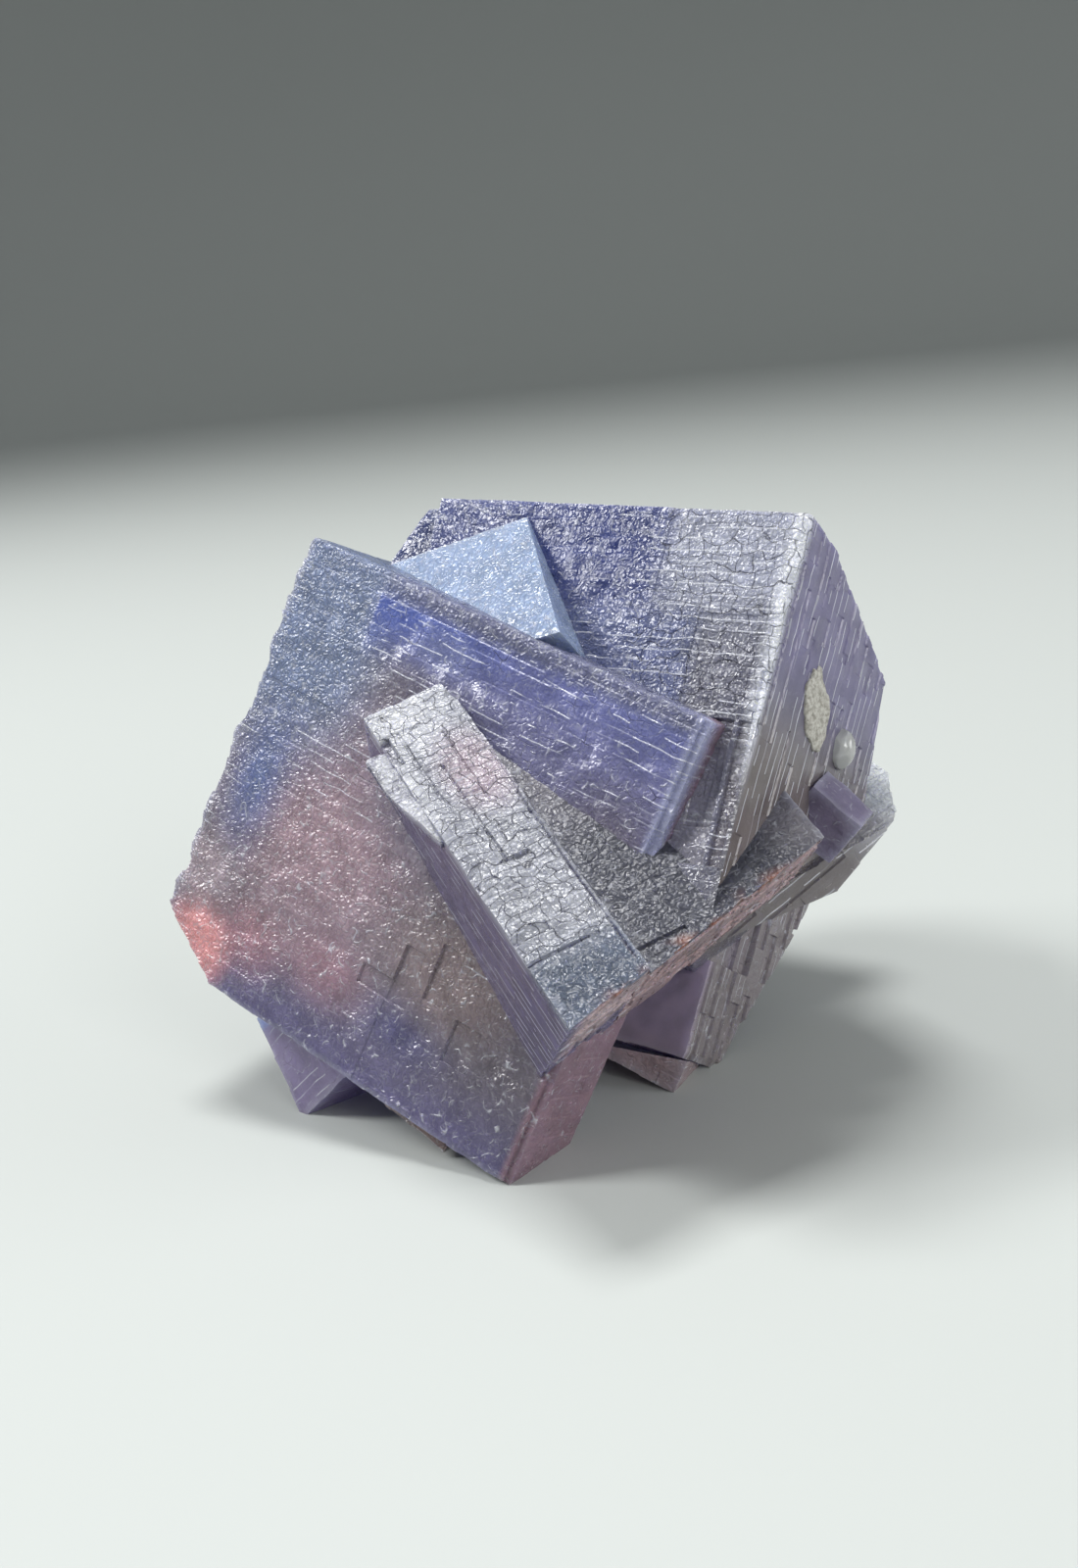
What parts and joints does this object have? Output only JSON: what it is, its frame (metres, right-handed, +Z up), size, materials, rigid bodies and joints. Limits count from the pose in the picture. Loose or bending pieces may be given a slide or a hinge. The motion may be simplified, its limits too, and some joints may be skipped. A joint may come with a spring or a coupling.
{
  "type": "fluorite specimen",
  "caption": "Hand-sized mineral specimen: intergrown violet-blue cube crystals with stepped faces, resting on a flat break, with a small crust and a clear grain on one side.",
  "frame": {"origin": "on the flat cut that the specimen rests on, under the middle of its bounding box", "axes": "+Z up from the cut, +X to the right and +Y away from someone who faces the large front crystal"},
  "size_m": [0.0631, 0.0624, 0.0489],
  "materials": {
    "fluorite": "glassy, etched in a fine mosaic of steps; blue at the edges, mauve in the middle, iron stain on the underside of one ridge",
    "crust": "matte, grainy",
    "clear_grain": "glassy, clear"
  },
  "bodies": {
    "root": {"fluorite_cluster": "fluorite", "calcite_scab": "crust", "quartz_bead": "clear_grain"}
  },
  "joints": []
}
